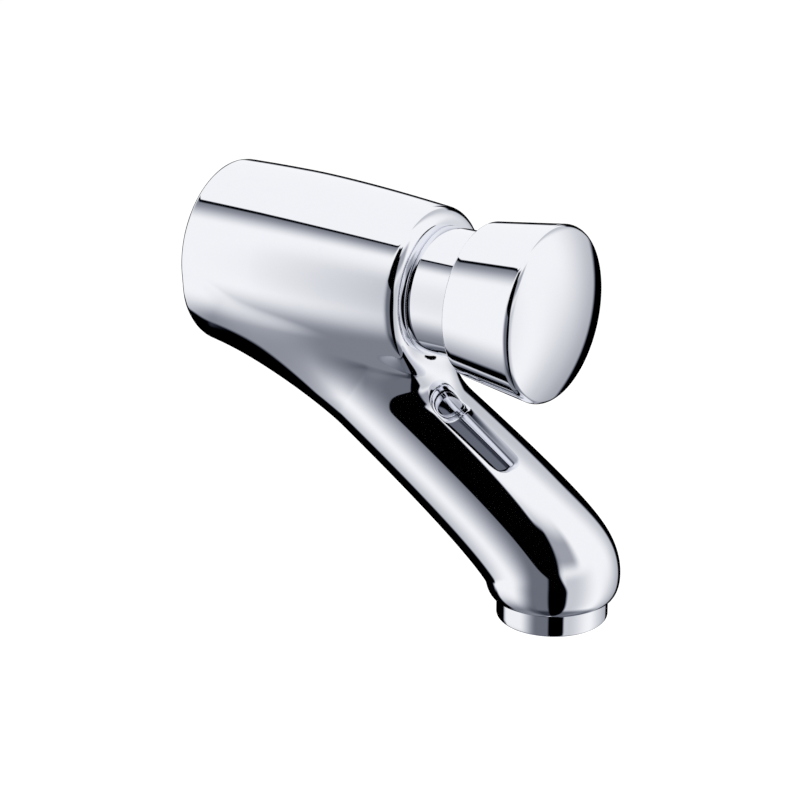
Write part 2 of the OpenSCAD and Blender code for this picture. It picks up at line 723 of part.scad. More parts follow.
cast_body();
inlet_washer();
inlet_filter();
seat_ring();
seat_o_ring();
cartridge_sleeve();
cartridge_o_ring();
partition_o_ring();
guide_sleeve();
guide_sleeve_o_ring();
stem_bush();
stem_o_ring();
wiper_ring();
return_spring();
stem();
valve_washer();
washer_cup();
valve_nut();
piston();
piston_lip_seal();
piston_clip();
spring_cup();
lock_nut();
button_hub();
button_cap();
aerator_ring();
aerator_washer();
flow_regulator();
aerator_insert();
outlet_grid();
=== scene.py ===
# %% [markdown]
# # A self-closing basin tap in polished chrome
# The tap is screwed to a wall. A round barrel runs out from the wall, a spout leaves its underside,
# and a push button sits on its nose. The imported CAD model is loaded as a fixed frame. Pieces that
# need a finer or smoother surface are made here with numpy, and everything gets a finish.

# %% Load the frame
import json

import bpy
import numpy as np
from mathutils import Matrix

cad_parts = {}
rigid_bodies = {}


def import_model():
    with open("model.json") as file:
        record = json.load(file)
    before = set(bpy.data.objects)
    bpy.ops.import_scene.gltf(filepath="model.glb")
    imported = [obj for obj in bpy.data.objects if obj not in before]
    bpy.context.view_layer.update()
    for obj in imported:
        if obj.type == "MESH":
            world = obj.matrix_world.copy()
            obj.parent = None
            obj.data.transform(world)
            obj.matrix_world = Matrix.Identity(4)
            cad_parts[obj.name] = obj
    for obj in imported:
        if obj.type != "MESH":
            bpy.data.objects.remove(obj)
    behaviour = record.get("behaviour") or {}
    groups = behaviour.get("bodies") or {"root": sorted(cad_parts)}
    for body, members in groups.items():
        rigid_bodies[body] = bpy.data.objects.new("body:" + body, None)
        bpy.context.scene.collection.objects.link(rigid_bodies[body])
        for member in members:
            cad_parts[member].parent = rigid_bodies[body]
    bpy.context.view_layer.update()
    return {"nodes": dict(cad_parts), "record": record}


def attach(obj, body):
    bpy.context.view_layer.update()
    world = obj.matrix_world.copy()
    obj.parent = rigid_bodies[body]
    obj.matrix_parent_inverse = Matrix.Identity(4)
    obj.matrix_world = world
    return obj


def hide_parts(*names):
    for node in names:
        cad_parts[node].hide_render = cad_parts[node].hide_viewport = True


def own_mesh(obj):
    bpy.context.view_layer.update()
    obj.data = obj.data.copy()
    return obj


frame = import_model()
nodes = frame["nodes"]
MM = 0.001

# %% [markdown]
# ## Camera
# Product photographs of small chrome parts are taken from far away with a long lens, so that the
# shape isn't stretched. The camera could be placed by eye, but its place here was worked out from
# the ellipses of the button, the nose and the outlet ring, so that they fall where they should.

# %% Camera: it stands back from the middle of the tap and a small step aside
TURN, HEIGHT, LEAN = -55.687, 21.869, -0.197
LENS, SENSOR = 117.04, 36.0
MIDDLE = np.array([0.0, -45.0, -25.0])
SIDE_STEP, RISE, DISTANCE = 5.966, -8.024, 662.017


def view_axes(turn, height, lean):
    """Right, up and backward unit vectors of a camera that looks from a turn round the vertical and
    a height above the horizon, in degrees. Its lean is a roll about its own line of sight."""
    a, e, r = np.radians([turn, height, lean])
    back = np.array([np.sin(a) * np.cos(e), -np.cos(a) * np.cos(e), np.sin(e)])
    level = np.array([np.cos(a), np.sin(a), 0.0])
    upright = np.cross(back, level)
    return (np.cos(r) * level + np.sin(r) * upright,
            np.cos(r) * upright - np.sin(r) * level, back)


right, up, back = view_axes(TURN, HEIGHT, LEAN)
camera = bpy.data.objects.new("camera", bpy.data.cameras.new("camera"))
camera.data.lens, camera.data.sensor_width = LENS, SENSOR
place = (MIDDLE + SIDE_STEP * right + RISE * up + DISTANCE * back) * MM
pose = np.eye(4)
pose[:3, 0], pose[:3, 1], pose[:3, 2], pose[:3, 3] = right, up, back, place
camera.matrix_world = Matrix(pose.tolist())
bpy.context.scene.collection.objects.link(camera)
bpy.context.scene.camera = camera
print("camera at", place.round(4))

# %% [markdown]
# ## Meshes from grids
# A turned or swept surface is a grid: one direction runs along a profile, the other goes round.
# Working out all points as one array is quicker than adding them one by one, and the spacing
# can be chosen so that tight curves get more rows.

# %% Helper: a mesh from a grid that goes round
def round_grid(name, rows, first_pole=None, last_pole=None, joined=False):
    """A mesh from rows of points in millimetres, each row going round once. Every row is joined to
    the next by quads: point j of row i goes with point j + 1 and with both of row i + 1. A pole
    closes an end with triangles, and joined ties the last row to the first."""
    count, around = rows.shape[:2]
    points = rows.reshape(-1, 3)
    i, j = np.meshgrid(np.arange(count if joined else count - 1), np.arange(around), indexing="ij")
    k, n = (j + 1) % around, (i + 1) % count
    quads = np.stack([i * around + j, i * around + k, n * around + k, n * around + j], -1)
    faces = quads.reshape(-1, 4).tolist()
    j = np.arange(around)
    for pole, start, turn in ((first_pole, 0, -1), (last_pole, (count - 1) * around, 1)):
        if pole is not None:
            fan = np.stack([start + j, start + (j + 1) % around, np.full(around, len(points))], -1)
            faces += fan[:, ::turn].tolist()
            points = np.vstack([points, pole])
    mesh = bpy.data.meshes.new(name)
    mesh.from_pydata((points * MM).tolist(), [], faces)
    mesh.shade_smooth()
    piece = bpy.data.objects.new(name, mesh)
    bpy.context.scene.collection.objects.link(piece)
    return piece


# %% [markdown]
# ## The cast body
# On the real tap barrel and spout are one polished casting, and the polisher has softened every
# place where they meet. Two separate solids pushed into each other would leave a hard line. So the
# body is described by distances instead: one to the barrel, one to the spout, blended where both
# are small. The surface is where the blended distance is zero.

# %% Barrel: a turned shape with a slight crown and a rounded nose
BARREL_LEN, NOSE_ROUND, REAR_ROUND = 64.8, 3.0, 1.2
REAR_R, MAX_R, FRONT_R, CROWN_S = 22.5, 22.9, 20.7, 22.0


def crown(s):
    """Barrel radius at distance s from the wall: largest at the crown, less towards the wall by the
    square of the share of the way, and less towards the nose by its 1.6th power."""
    rise = np.clip(CROWN_S - s, 0, None) / CROWN_S
    fall = np.clip(s - CROWN_S, 0, None) / (BARREL_LEN - NOSE_ROUND - CROWN_S)
    return MAX_R - (MAX_R - REAR_R) * rise**2 - (MAX_R - FRONT_R) * fall**1.6


def barrel_distance(x, s, z):
    """Distance to the barrel: how far outside its side and its nose plane a point lies, both moved
    in by the rounding and joined as the two legs of a right triangle."""
    side = np.hypot(x, z) - crown(s) + NOSE_ROUND
    nose = s - BARREL_LEN + NOSE_ROUND
    corner = np.hypot(np.maximum(side, 0), np.maximum(nose, 0))
    return corner + np.minimum(np.maximum(side, nose), 0) - NOSE_ROUND


stations = np.array([0, CROWN_S, BARREL_LEN])
print("barrel radius at the wall, the crown and the nose:", crown(stations).round(2), "mm")

# %% [markdown]
# The spout is thick where it leaves the barrel, slender in the middle and a little fuller at the
# mouth. A tube of even width bent along a curve would miss that. A ball rolled along the curve can
# change its radius on the way, and its track is always smooth. The curve is a Bezier curve: it
# starts inside the barrel, leans towards two handles, and ends nearly upright over the outlet.

# %% Spout: balls carried along one curve
REACH, DROP = 98.2, 73.5
SPINE = np.array([(6.0, -3.6), (37.0, -23.8), (100.0, -59.7), (REACH, -68.0)])
ROOT_R, WAIST_R, MOUTH_R = 22.1, 14.0, 16.9
ROOT_SHARE, MOUTH_FROM = 0.35, 0.1


def spine(t):
    """Point of the cubic Bezier curve through the spout, as distance from the wall and height: the
    four control points weighted by 1, 3, 3 and 1 times the powers of 1 - t and t."""
    w = np.stack([(1 - t)**3, 3 * (1 - t)**2 * t, 3 * (1 - t) * t**2, t**3], -1)
    return np.moveaxis(w @ SPINE, -1, 0)


def ball_distance(t, x, s, z):
    """Distance to the ball at place t of the curve. Its radius is the waist's, plus what the root
    adds over the first part and what the mouth adds towards the end, both by the power of 1.5."""
    root = np.clip(1 - t / ROOT_SHARE, 0, None)**1.5
    mouth = np.clip((t - MOUTH_FROM) / (1 - MOUTH_FROM), 0, None)**1.5
    r = WAIST_R + (ROOT_R - WAIST_R) * root + (MOUTH_R - WAIST_R) * mouth
    s0, z0 = spine(t)
    return np.sqrt(x**2 + (s - s0)**2 + (z - z0)**2) - r


def spout_distance(x, s, z, balls=48, passes=4):
    """Distance to the nearest ball: a coarse search along the curve, then a few steps to the
    bottom of the parabola through three neighbouring distances, each over a narrower gap."""
    nearest, t = np.full(x.shape, 1e9), np.zeros(x.shape)
    for place in np.linspace(0, 1, balls):
        distance = ball_distance(place, x, s, z)
        t = np.where(distance < nearest, place, t)
        nearest = np.minimum(distance, nearest)
    gap = 0.5 / balls
    for _ in range(passes):
        t = np.clip(t, gap, 1 - gap)
        before, here, after = (ball_distance(t + way, x, s, z) for way in (-gap, 0, gap))
        bend = np.maximum(after - 2 * here + before, 1e-9)
        step = np.clip(gap * 0.5 * (after - before) / bend, -4 * gap, 4 * gap)
        t = np.clip(t - step, 0, 1)
        gap *= 0.4
    return np.minimum(ball_distance(t, x, s, z), nearest)


print("spout: from", SPINE[0], "to", SPINE[-1], "mm, distance from the wall and height")

# %% [markdown]
# Where barrel and spout meet, the casting has a soft hollow, narrow near the wall and wide at the
# saddle under the nose. The smaller of the two distances alone would leave a crease there. So a
# little is taken off wherever the two are nearly equal, which fills the crease.

# %% Blend: the two distances flow into each other
WALL_BLEND, MIDDLE_BLEND, NOSE_BLEND = 4, 10, 12


def ramp(low, high, v):
    """0 below low, 1 above high, and a smooth S between."""
    t = np.clip((v - low) / (high - low), 0, 1)
    return t * t * (3 - 2 * t)


def body_distance(x, s, z):
    """The smaller of the two distances, lowered where they are nearly equal by a quarter of the
    blend's width times the square of how nearly. The blend widens from the wall to the middle and
    again at the nose, and fades out towards the top, where one shape holds the other."""
    barrel, spout = barrel_distance(x, s, z), spout_distance(x, s, z)
    width = (WALL_BLEND + (MIDDLE_BLEND - WALL_BLEND) * ramp(5, 40, s)
             + (NOSE_BLEND - MIDDLE_BLEND) * ramp(51, 63, s))
    width = 0.01 + width * ramp(2, -12, z)
    near = np.clip(width - np.abs(barrel - spout), 0, None) / width
    return np.minimum(barrel, spout) - near**2 * width / 4


saddle = (np.zeros(1), np.full(1, BARREL_LEN), np.full(1, -FRONT_R))
print("depth under the blend where the nose meets the spout, mm:", body_distance(*saddle).round(2))

# %% [markdown]
# A distance isn't a mesh yet. Cutting the space into small cubes would give one, but with a rough
# grain that chrome would show at once. Here the body is cut by planes instead, which turn like the
# pages of a book from the wall to the outlet. In each plane the outline is found by walking
# towards it from outside, so every point lies on the surface itself and the rows run with the form.

# %% Surface: cut the body by a fan of planes and find its outline in each
HINGE_Z, ROWS, COLUMNS, FINE_CUTS = -DROP, 264, 288, 1500


def fan_point(x, rho, angle):
    """Point of a plane that turns about the line where the wall meets the level of the outlet:
    rho away from that line, at an angle above the level."""
    return x, rho * np.cos(angle), HINGE_Z + rho * np.sin(angle)


def walk_in(centre, angle, around, start=62.0, steps=40):
    """Distance from the centre of each cut to its outline, found by walking in from outside, each
    step a little shorter than the distance still left."""
    r = np.full(np.broadcast(centre, around).shape, start)
    for _ in range(steps):
        point = fan_point(r * np.sin(around), centre + r * np.cos(around), angle)
        r = r - 0.95 * body_distance(*point)
    return r


def cut_middle(angle):
    """Half way between the two points of each cut that lie in the plane of symmetry, and the outer
    one of them, both as distances from the line that the planes turn about."""
    guess = DROP + (REACH - DROP) * (1 - angle / (np.pi / 2))
    outer = guess + walk_in(guess, angle, np.zeros_like(angle))
    inner = guess - walk_in(guess, angle, np.full_like(angle, np.pi))
    return (outer + inner) / 2, outer


# The planes are spread so that their rows lie evenly along the top of the tap
angle = np.linspace(np.pi / 2, 0, FINE_CUTS)
middle, outer = cut_middle(angle)
_, line_s, line_z = fan_point(0, outer, angle)
run = np.concatenate([[0], np.cumsum(np.hypot(np.diff(line_s), np.diff(line_z)))])
spread = np.linspace(0, 1, ROWS)
angle = np.interp(spread * run[-1], run, angle)
middle, _ = cut_middle(angle)
half_turn = np.linspace(0, np.pi, COLUMNS // 2 + 1)
r = walk_in(middle[:, None], angle[:, None], half_turn[None, :])
x, s, z = fan_point(r * np.sin(half_turn), middle[:, None] + r * np.cos(half_turn), angle[:, None])
print("left over after the walk, mm:", float(np.abs(body_distance(x, s, z)).max().round(4)))

# %% [markdown]
# The polisher also takes the sharpness off the two ends: a small even round where the body meets
# the wall, and a large soft one at the mouth. Both are made by drawing the last rows in towards
# the middle, by more the nearer they lie to the end.

# %% Soften the rear edge and the rim of the mouth
MOUTH_FACE_R, MOUTH_ROUND, MOUTH_POWER = 14.6, 4.7, 2.6


def inset(height, depth, power=2.0):
    """How far a rounded edge of that depth draws in at a height below the depth, as a share: a
    quarter circle for a power of 2, and fuller, with a softer start, for a higher one."""
    return 1 - (1 - np.clip(1 - height / depth, 0, 1)**power)**(1 / power)


rear = 1 - REAR_ROUND * inset(s, REAR_ROUND) / np.hypot(x, z)
x, z = x * rear, z * rear
from_outlet = s - REACH
rim = np.hypot(x, from_outlet)
pull = (rim[-1] - MOUTH_FACE_R) * inset(z - HINGE_Z, MOUTH_ROUND, MOUTH_POWER)
x, s = x * (1 - pull / rim), REACH + from_outlet * (1 - pull / rim)
half = np.stack([x, -s, z], -1)
mirror = half[:, -2:0:-1] * [-1, 1, 1]
outside = np.concatenate([half, mirror], axis=1)[:, ::-1]
print("outside of the body:", outside.shape[0], "rows of", outside.shape[1], "points")

# %% [markdown]
# The body is hollow. From the wall a G1/2 thread goes in, then a step for the strainer and the
# chamber of the valve, and at the mouth there is a pocket for the aerator. These bores are turned
# shapes, so they are rings that carry on from the first and the last row of the outside. A thread
# could be cut in as a helix. It is drawn here as a ripple of the radius: the groove moves on by one
# pitch for each turn round the axis.

# %% Helpers: rings that carry on from a row of the body
def circle_rows(template, centre, radii, offsets, axis):
    """Rings about a centre that keep the angles of the template row. Each has its own radius, or a
    radius for every angle, and its own place along the axis, so that they follow a stepped bore."""
    flat = template - centre
    flat[:, axis] = 0
    flat /= np.linalg.norm(flat, axis=1)[:, None]
    rings = centre + flat[None] * np.asarray(radii, float).reshape(len(radii), -1, 1)
    rings[..., axis] = np.asarray(offsets)[:, None]
    return rings


def along_push(profile):
    """Rings about the push axis for a list of radius and distance from the wall."""
    radii, distances = np.array(profile, float).T
    return circle_rows(outside[0], np.zeros(3), radii, -distances, 1)


# %% Thread of the inlet: its groove is a zigzag of the radius
CREST_R, THREAD_DEPTH, PITCH = 9.32, 1.05, 1.814
THREAD_FROM, THREAD_TO, RUN_OUT, THREAD_ROWS = 0.4, 9.9, 0.8, 54
thread_s = np.linspace(THREAD_FROM, THREAD_TO, THREAD_ROWS)[:, None]
share_round = np.arctan2(outside[0][:, 2], outside[0][:, 0]) / (2 * np.pi)
groove = 1 - np.abs(2 * ((thread_s / PITCH + share_round) % 1) - 1)
run_out = np.clip(np.minimum(thread_s - THREAD_FROM, THREAD_TO - thread_s) / RUN_OUT, 0, 1)
thread_rows = circle_rows(outside[0], np.zeros(3), CREST_R + THREAD_DEPTH * groove * run_out,
                          -thread_s[:, 0], 1)
print("thread:", round((THREAD_TO - THREAD_FROM) / PITCH, 1), "turns")

# %% Close it: rear face and inlet bore, mouth face and outlet pocket
THREAD_END, STRAINER_R, SHOULDER_S, PASSAGE_R = 10, 9.02, 13, 7
CHAMBER_S, CHAMBER_R, SEAT_S, SEAT_HOLE_R = 16, 11, 28, 6
AERATOR_R, POCKET_Z = 12, -66.5
STEP = 0.05  # each step of a bore slopes by this much, so that no two rings fall together
rear_face = along_push([(19, 0), (14, 0), (10, 0), (9.4, STEP), (CREST_R, 0.3)])
chamber = along_push([
    (CREST_R, THREAD_END), (STRAINER_R, THREAD_END + STEP), (STRAINER_R, SHOULDER_S),
    (PASSAGE_R, SHOULDER_S + STEP), (PASSAGE_R, CHAMBER_S - STEP), (CHAMBER_R - 0.1, CHAMBER_S),
    (CHAMBER_R, CHAMBER_S + 0.1), (CHAMBER_R, SEAT_S), (SEAT_HOLE_R, SEAT_S + STEP)])
inlet_rows = np.concatenate([rear_face, thread_rows, chamber])
pocket_r, pocket_z = np.array([
    (14.2, HINGE_Z), (12.4, HINGE_Z), (AERATOR_R + STEP, -73.35), (AERATOR_R, -73.1),
    (AERATOR_R, POCKET_Z), (8, POCKET_Z + STEP)]).T
pocket_rows = circle_rows(outside[-1], np.array([0, -REACH, HINGE_Z]), pocket_r, pocket_z, 2)
rows = np.concatenate([inlet_rows[::-1], outside, pocket_rows])
body = round_grid("tap_body", rows, first_pole=(0, -SEAT_S - STEP, 0),
                  last_pole=(0, -REACH, POCKET_Z + STEP))
print("tap_body:", len(body.data.polygons), "faces")

# %% [markdown]
# ## Turned pieces
# Sleeve, button and outlet ring are turned on a lathe. A profile carried round an axis gives the
# same shape. Every sharp corner of the profile gets a small round, because a real edge always has
# one, and in chrome it shows as a thin bright or dark line. The Bevel modifier could round the
# edges afterwards, but here each edge needs its own radius, so it is written beside the corner.

# %% Helper: a profile with rounded corners
def rounded(corners, steps=6):
    """Points of a profile through corners (radius, place, rounding): each corner is replaced by an
    arc that touches both of its sides. The arc's ends lie away from the corner by the rounding
    over the tangent of half the corner's angle."""
    path = np.array([c[:2] for c in corners], float)
    points = [path[0]]
    for a, b, c, (_, _, rounding) in zip(path, path[1:], path[2:], corners[1:-1]):
        u, v = (a - b) / np.linalg.norm(a - b), (c - b) / np.linalg.norm(c - b)
        open_angle = np.arccos(np.clip(u @ v, -1, 1))
        if rounding == 0 or open_angle > 3.1:
            points.append(b)
            continue
        cut = rounding / np.tan(open_angle / 2)
        centre = b + (u + v) / np.linalg.norm(u + v) * rounding / np.sin(open_angle / 2)
        start, end = b + u * cut - centre, b + v * cut - centre
        sweep = np.pi - open_angle
        share = np.linspace(0, 1, steps + 1)[:, None]
        arc = (np.sin((1 - share) * sweep) * start + np.sin(share * sweep) * end) / np.sin(sweep)
        points += list(centre + arc)
    return np.array(points + [path[-1]])


def refined(profile, longest):
    """The same profile with extra points, so that no step is longer than that many millimetres."""
    steps = np.hypot(*np.diff(profile, axis=0).T)
    places = np.concatenate([[0], np.cumsum(np.maximum(np.ceil(steps / longest), 1))])
    at = np.arange(int(places[-1]) + 1)
    return np.stack([np.interp(at, places, profile[:, k]) for k in (0, 1)], -1)


def turned(name, profile, axis="push", around=192, **ends):
    """The profile (radius, place) carried round an axis: the cosine and the sine of the turn times
    the radius. The place is a distance from the wall on the push axis, a height on the outlet's."""
    a = np.linspace(0, 2 * np.pi, around, endpoint=False)
    r, place = profile[:, :1], profile[:, 1:] + 0 * a
    if axis == "push":
        rows = np.stack([r * np.cos(a), -place, r * np.sin(a)], -1)
    else:
        rows = np.stack([r * np.cos(a), -REACH + r * np.sin(a), place], -1)
    return round_grid(name, rows, **ends)


# %% [markdown]
# The sleeve stays still. Its spigot is screwed into the nose, and the button slides over its
# outside. Two grooves hold rubber rings: one seals the spigot, one wipes the inside of the button.
# Its places are counted from the nose, so they move with the barrel's length.

# %% Guide sleeve: spigot in the nose, shoulder, guide for the button
SLEEVE_R, SLEEVE_LEN, GUIDE_BORE_R, WEB = 16.2, 20, 12.5, 2
SPIGOT_R, SPIGOT_LEN, BUSH_R, LONGEST = 13.95, 7, 5.5, 1.2
SEAL_R, SEAL_FROM, SEAL_TO = 11.95, -2.9, -0.8
WIPER_R, WIPER_FROM, WIPER_TO = 15.1, 16, 18
sleeve_corners = np.array([
    (BUSH_R, -6.4, 0), (BUSH_R, -SPIGOT_LEN, 0.3), (SPIGOT_R, -SPIGOT_LEN, 0.4),
    (SPIGOT_R, SEAL_FROM, 0.1), (SEAL_R, SEAL_FROM, 0.1), (SEAL_R, SEAL_TO, 0.1),
    (SPIGOT_R, SEAL_TO, 0.1), (SPIGOT_R, 0, 0), (SLEEVE_R - 0.3, 0, 0), (SLEEVE_R, 0.3, 0.1),
    (SLEEVE_R, WIPER_FROM, 0.1), (WIPER_R, WIPER_FROM, 0.1), (WIPER_R, WIPER_TO, 0.1),
    (SLEEVE_R, WIPER_TO, 0.1), (SLEEVE_R, SLEEVE_LEN, 0.4), (GUIDE_BORE_R, SLEEVE_LEN, 0.4),
    (GUIDE_BORE_R, WEB, 0.3), (BUSH_R, WEB, 0.2), (BUSH_R, -6, 0)]) + [0, BARREL_LEN, 0]
sleeve = turned("sleeve", refined(rounded(sleeve_corners), LONGEST), joined=True)
print("sleeve:", len(sleeve.data.polygons), "faces")

# %% [markdown]
# The button is what the eye goes to: a cone that widens towards the hand, and a face like a shallow
# dome. Cone, edge and dome have to flow into each other, or the mirror image would break there. So
# their angles are worked out: the dome's radius is the one that meets the edge's arc in one tangent.

# %% Push button: conical side, softly rounded edge, domed face, bored from behind
REAR_RIM, REAR_RIM_R, RIM_ROUND = 77.3, 19.4, 0.7
EDGE_S, FRONT_RIM_R, EDGE_R, TIP = 96.3, 22.1, 2.0, 102.5
CAP_BORE_R, CAP_FLOOR, RIM_FLAT_R = 16.6, 91.8, 17.0
BOSS_R, BOSS_FROM, HUB_R, HUB_TO = 10.5, 87.8, 7.05, 96.7
arc_r = FRONT_RIM_R - EDGE_R
dome_half = 2 * np.arctan((TIP - EDGE_S - EDGE_R) / arc_r)
dome_radius = EDGE_R + arc_r / np.sin(dome_half)
cone_lean = np.arctan((FRONT_RIM_R - REAR_RIM_R) / (EDGE_S - REAR_RIM))
edge_turn = np.linspace(-cone_lean, np.pi / 2 - dome_half, 20)
edge_arc = np.stack([arc_r + EDGE_R * np.cos(edge_turn), EDGE_S + EDGE_R * np.sin(edge_turn)], -1)
dome_turn = np.linspace(dome_half, 0.004, 60)[1:]
dome = np.stack([dome_radius * np.sin(dome_turn),
                 TIP - dome_radius * (1 - np.cos(dome_turn))], -1)
rim_round = rounded([(RIM_FLAT_R, REAR_RIM, 0), (REAR_RIM_R, REAR_RIM, RIM_ROUND),
                     tuple(edge_arc[0]) + (0,)])
bore = rounded([
    (0.2, HUB_TO, 0), (HUB_R, HUB_TO, 0.2), (HUB_R, BOSS_FROM, 0.3), (BOSS_R, BOSS_FROM, 0.5),
    (BOSS_R, CAP_FLOOR, 0.2), (CAP_BORE_R, CAP_FLOOR, 0.6), (CAP_BORE_R, REAR_RIM, 0.3),
    (RIM_FLAT_R, REAR_RIM, 0)])
button_profile = refined(np.vstack([bore[:-1], rim_round[:-1], edge_arc, dome]), LONGEST)
button = turned("button", button_profile, around=256,
                first_pole=(0, -HUB_TO, 0), last_pole=(0, -TIP, 0))
print("button:", len(button.data.polygons), "faces, dome radius", round(float(dome_radius), 1), "mm")

# %% [markdown]
# The outlet ring screws into the mouth and holds the aerator. Only its lower part shows, a short
# straight band of chrome. Its lip turns inwards at the bottom, under the grid.

# %% Outlet ring: screwed into the mouth over the aerator
RING_R, RING_BORE_R, RING_LIP_R, RING_THREAD_R = 14, 10, 9, 11.95
RING_TOP, RING_LIP, RING_LOW = -67.5, -78.5, -79.3
ring_corners = [
    (RING_BORE_R, RING_LIP + 0.1, 0), (RING_BORE_R, RING_TOP, 0.2), (RING_THREAD_R, RING_TOP, 0.3),
    (RING_THREAD_R, HINGE_Z, 0), (RING_R - 0.2, HINGE_Z, 0.2), (RING_R, HINGE_Z - 0.2, 0.1),
    (RING_R, RING_LOW, 0.5), (RING_LIP_R, RING_LOW, 0.3), (RING_LIP_R, RING_LIP, 0.1),
    (RING_BORE_R, RING_LIP, 0)]
ring = turned("outlet_ring", refined(rounded(ring_corners), 1.0), axis="outlet", joined=True)
print("outlet_ring:", len(ring.data.polygons), "faces")

# %% [markdown]
# ## Return spring
# Behind the button one steel wire is wound into a spring, which shortens when the button is pushed.
# A rigid spring would then stick through its cup. The spring is a mesh of its own, a small circle
# carried along a helix. How far the button moves stands in the frame, as the range of the joint,
# and is read here.

# %% Spring: one wire wound at an even pitch
COIL_R, WIRE_R, TURNS, COIL_FROM, COIL_TO = 9.4, 0.7, 6, 67.6, 84.5
joints = {joint["name"]: joint for joint in frame["record"]["behaviour"]["joints"]}
travel = joints["button_push"]["range_m"][1] / MM
wind = np.linspace(0, 2 * np.pi * TURNS, 48 * TURNS + 1)[:, None]
around_wire = np.linspace(2 * np.pi, 0, 14, endpoint=False)
wire_r = COIL_R + WIRE_R * np.cos(around_wire)
wire_s = COIL_FROM + (COIL_TO - COIL_FROM) * wind / wind[-1] + WIRE_R * np.sin(around_wire)
coil = np.stack([wire_r * np.cos(wind), -wire_s, wire_r * np.sin(wind)], -1)
spring = round_grid("spring_coil", coil, first_pole=coil[0].mean(0), last_pole=coil[-1].mean(0))
coil_length = COIL_TO - COIL_FROM + 2 * WIRE_R
print("spring_coil:", round(coil_length, 2), "mm long, gives way by", round(travel, 2), "mm")

# %% [markdown]
# ## Joining the frame
# A mesh made here knows nothing of the tap's joints yet. Each one is tied to the body it moves
# with, takes the place of the plain CAD solid, which is hidden, and says which finish it has,
# so that the pose pictures and the export treat it like the solid it stands for.

# %% Each piece rides on a body, stands for its CAD node and takes that node's finish
made_here = [
    (body, "cast_body", "housing", "polished_chrome"),
    (sleeve, "guide_sleeve", "housing", "polished_chrome"),
    (button, "button_cap", "plunger", "polished_chrome"),
    (ring, "aerator_ring", "housing", "polished_chrome"),
    (spring, "return_spring", "housing", "spring_steel")]
for piece, node_name, body_name, finish in made_here:
    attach(piece, body_name)
    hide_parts(node_name)
1 - travel / coil_length
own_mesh(spring)
print("pieces that stand for solids:", [(piece.name, name) for piece, name, _, _ in made_here])

# %% [markdown]
# ## Shader arithmetic
# A finish is arithmetic on places: noise here, a stripe there, the two multiplied. Node by node that
# is long to write and hard to read. One small class lets Python expressions add the nodes instead,
# so that a material reads like its formula.

# %% Helper: a wire that can be added, multiplied and blended
class Wire:
    """An output socket of a node tree. Arithmetic on wires and numbers adds Math nodes."""

    def __init__(self, tree, socket=None):
        self.tree, self.socket = tree, socket

    def node(self, kind, settings=None, sockets=None, out=0):
        """A new node: its settings are set first, then each socket gets a number or a link."""
        made = self.tree.nodes.new(kind)
        for name, value in (settings or {}).items():
            setattr(made, name, value)
        self.feed(made, sockets or {})
        return Wire(self.tree, made.outputs[out])

    def feed(self, made, sockets):
        """Gives each named socket of a node its number, or a link if the value is a wire."""
        for name, value in sockets.items():
            if isinstance(value, Wire):
                self.tree.links.new(value.socket, made.inputs[name])
            else:
                made.inputs[name].default_value = value

    def math(self, operation, *values):
        """A Math node with that operation on wires or numbers."""
        return self.node("ShaderNodeMath", {"operation": operation}, dict(enumerate(values)))

    def __add__(self, other):
        return self.math("ADD", self, other)

    def __radd__(self, other):
        return self.math("ADD", other, self)

    def __sub__(self, other):
        return self.math("SUBTRACT", self, other)

    def __rsub__(self, other):
        return self.math("SUBTRACT", other, self)

    def __mul__(self, other):
        return self.math("MULTIPLY", self, other)

    def __rmul__(self, other):
        return self.math("MULTIPLY", other, self)

    def __pow__(self, other):
        return self.math("POWER", self, other)

    def __neg__(self):
        return self.math("MULTIPLY", self, -1.0)

    def dot(self, vector):
        """How far this vector reaches along another one."""
        return self.node("ShaderNodeVectorMath", {"operation": "DOT_PRODUCT"},
                         {0: self, 1: tuple(float(v) for v in vector)}, out="Value")

    def ramp(self, low, high):
        """0 at low, 1 at high and a smooth S between."""
        return self.node("ShaderNodeMapRange", {"interpolation_type": "SMOOTHSTEP"},
                         {"Value": self, "From Min": low, "From Max": high})

    def between(self, first, second):
        """The colour that lies this far from the first colour to the second. Each is a wire or
        three numbers."""
        first, second = (c if isinstance(c, Wire) else tuple(c) + (1,) for c in (first, second))
        return self.node("ShaderNodeMix", {"data_type": "RGBA"}, {0: self, 6: first, 7: second}, out=2)


# %% [markdown]
# ## Finishes
# Only chrome shows from most sides, but the sealing rings, the strainer, the grid and the brass
# behind them show through the inlet and the outlet, and the model can be opened. Each
# finish reads the piece's own coordinates in millimetres, so the pattern stays put when it moves.

# %% Helper: a new material with its shader and its place in millimetres
finishes = {}


def begin(name):
    """A material with a Principled shader, and the place on the piece in millimetres."""
    material = bpy.data.materials.new(name)
    material.use_nodes = True
    finishes[name] = material
    blank = Wire(material.node_tree)
    place = blank.node("ShaderNodeTexCoord", out="Object")
    mm = blank.node("ShaderNodeVectorMath", {"operation": "SCALE"}, {0: place, "Scale": 1000.0})
    return material.node_tree.nodes["Principled BSDF"], mm


def noise(mm, grain, detail=2.0, offset=0.0):
    """Smooth random values from 0 to 1 whose patches are about grain millimetres across."""
    return mm.node("ShaderNodeTexNoise", {"noise_dimensions": "4D"},
                   {"Vector": mm, "W": offset, "Scale": 1 / grain, "Detail": detail})


def bump(height, depth_mm):
    """A normal that follows a height from 0 to 1, scaled to a depth in millimetres."""
    return height.node("ShaderNodeBump", None, {"Height": height, "Distance": depth_mm * MM})


# %% [markdown]
# Chrome on brass is a mirror with a cool tint. A perfect mirror looks drawn, so the polishing wheel
# leaves a faint wave here and a breath of haze. The face that goes against the wall is only turned
# flat before plating, so it is duller. Plating hardly reaches into the threaded inlet, so the brass
# shows there. Both are told apart by place, which saves a second material.

